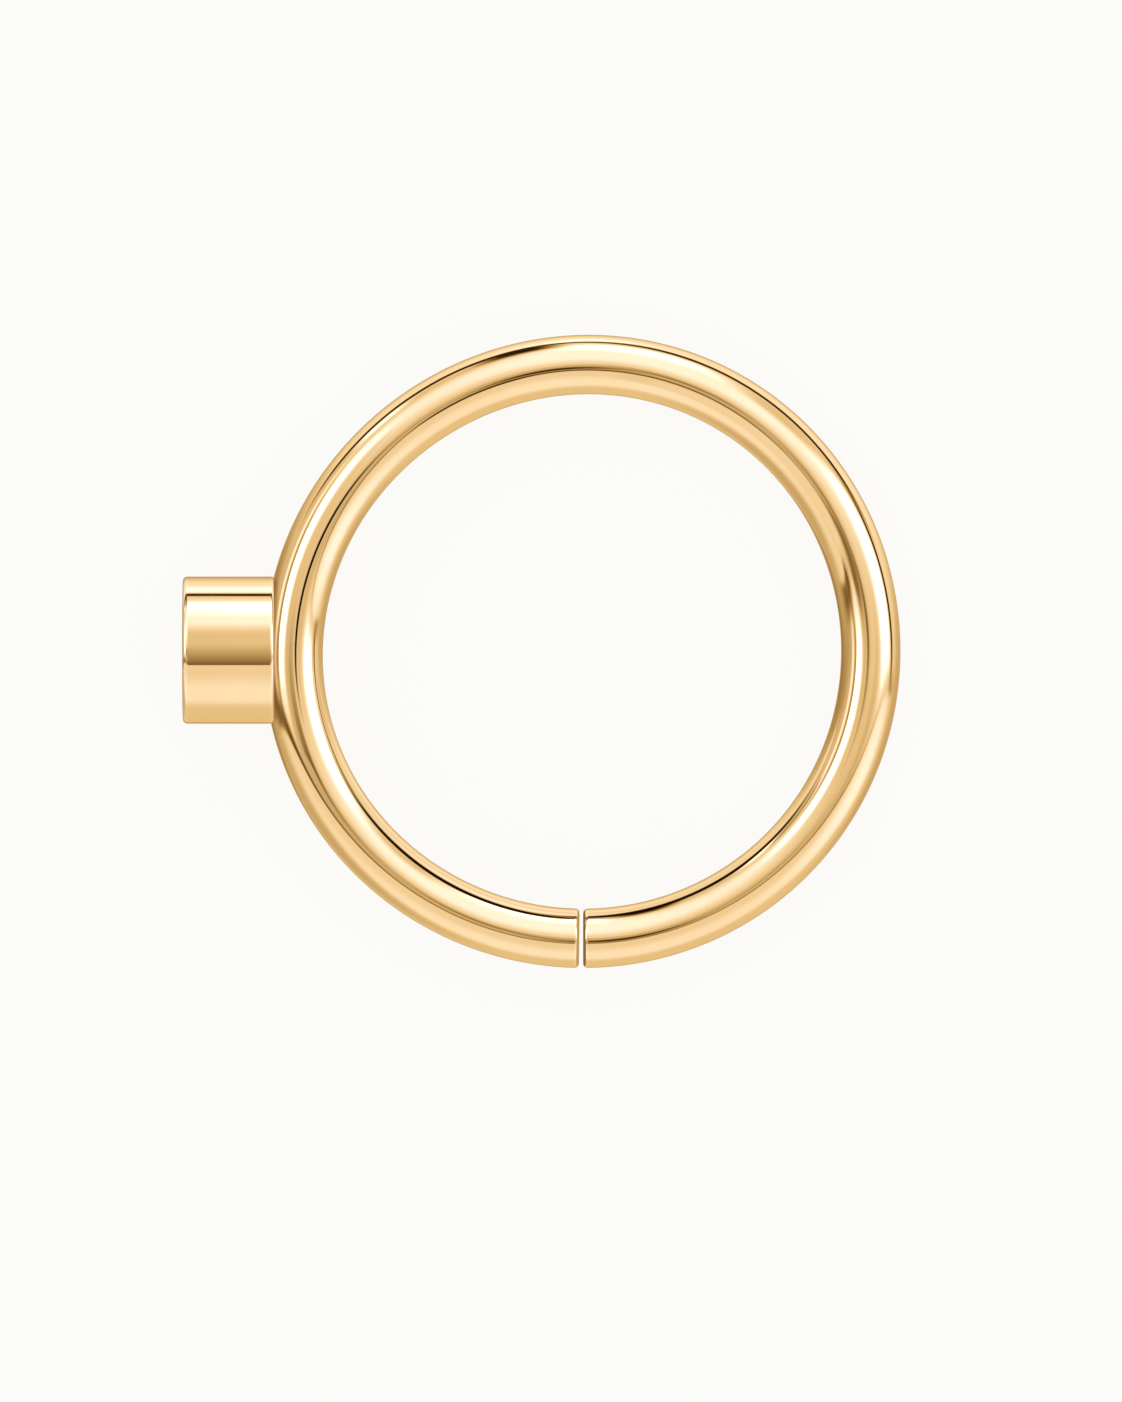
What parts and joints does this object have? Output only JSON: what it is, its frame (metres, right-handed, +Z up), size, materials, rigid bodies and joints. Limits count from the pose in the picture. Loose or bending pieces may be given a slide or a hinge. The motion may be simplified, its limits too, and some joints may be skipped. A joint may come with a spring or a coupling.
{
  "type": "rook hoop",
  "caption": "Small ring of round polished gold wire for a rook piercing, with a plain barrel soldered to its outside and a narrow cut where it twists open.",
  "frame": {"origin": "on the surface the hoop rests on, under the middle of the whole piece", "axes": "+Z up from the surface; -X the way the barrel points; -Y towards the cut in the wire"},
  "size_m": [0.0112, 0.0098, 0.0024],
  "materials": {
    "polished_gold": "polished 14k yellow gold"
  },
  "bodies": {
    "root": {"hoop": "polished_gold"}
  },
  "joints": []
}
